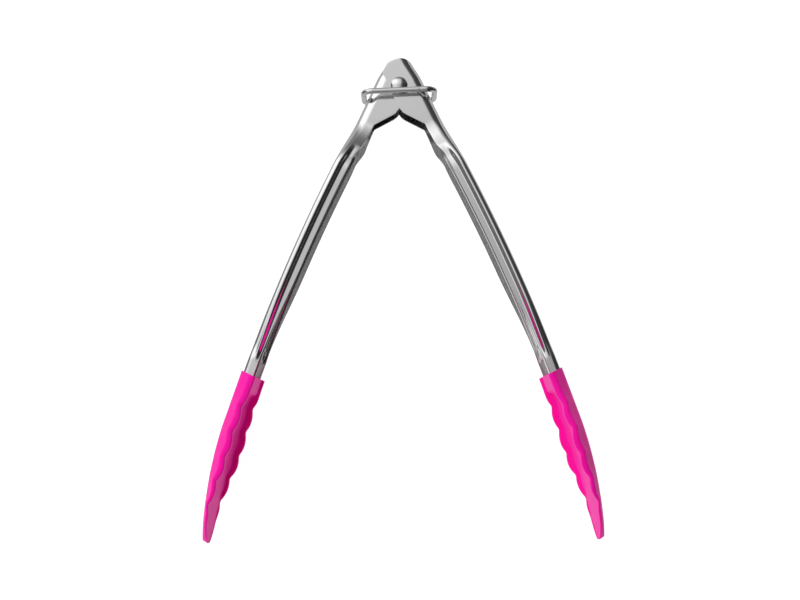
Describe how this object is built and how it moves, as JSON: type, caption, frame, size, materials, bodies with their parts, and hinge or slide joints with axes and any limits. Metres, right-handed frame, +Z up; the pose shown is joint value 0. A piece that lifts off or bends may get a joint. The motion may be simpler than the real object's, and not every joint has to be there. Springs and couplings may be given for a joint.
{
  "type": "spring loaded kitchen tongs",
  "caption": "Spring loaded kitchen tongs: riveted polished steel arms with scalloped silicone scoop heads and a sliding wire lock ring, shown open and lying on their side.",
  "frame": {"origin": "middle of the underside, where the two heads rest on the surface that the open tongs lie on", "axes": "+Y from the tips to the pivot, +Z up along the rivet, +X to the right seen from above with the pivot at the top"},
  "size_m": [0.1726, 0.2134, 0.042],
  "materials": {
    "polished_steel": "mirror polished stainless",
    "rivet_steel": "polished",
    "ring_steel": "bright drawn wire",
    "spring_steel": "drawn spring wire",
    "silicone": "satin moulded"
  },
  "bodies": {
    "pivot": {"pivot_rivet": "rivet_steel", "pivot_sleeve": "rivet_steel", "torsion_spring": "spring_steel"},
    "right": {"arm_right": "polished_steel", "head_right": "silicone"},
    "left": {"arm_left": "polished_steel", "head_left": "silicone"},
    "ring": {"lock_ring": "ring_steel"}
  },
  "joints": [
    {"name": "right_arm_close", "type": "hinge", "parent": "pivot", "child": "right", "pos_m": [0, 0.09406, 0.02099], "axis": [0, 0, -1], "range_deg": [0, 22.5], "stiffness_Nm_per_rad": 0.5, "springref_deg": -45.84, "deforming": ["torsion_spring"]},
    {"name": "left_arm_close", "type": "hinge", "parent": "pivot", "child": "left", "pos_m": [0, 0.09406, 0.02099], "axis": [0, 0, 1], "range_deg": [0, 22.5], "deforming": ["torsion_spring"]},
    {"name": "lock_ring_slide", "type": "slide", "parent": "pivot", "child": "ring", "axis": [0, -1, 0], "range_m": [0, 0.012]}
  ],
  "couplings": [
    {"joint": "left_arm_close", "follows": "right_arm_close", "ratio": 1},
    {"joint": "lock_ring_slide", "follows": "right_arm_close", "m_per_rad": 0.030558}
  ]
}
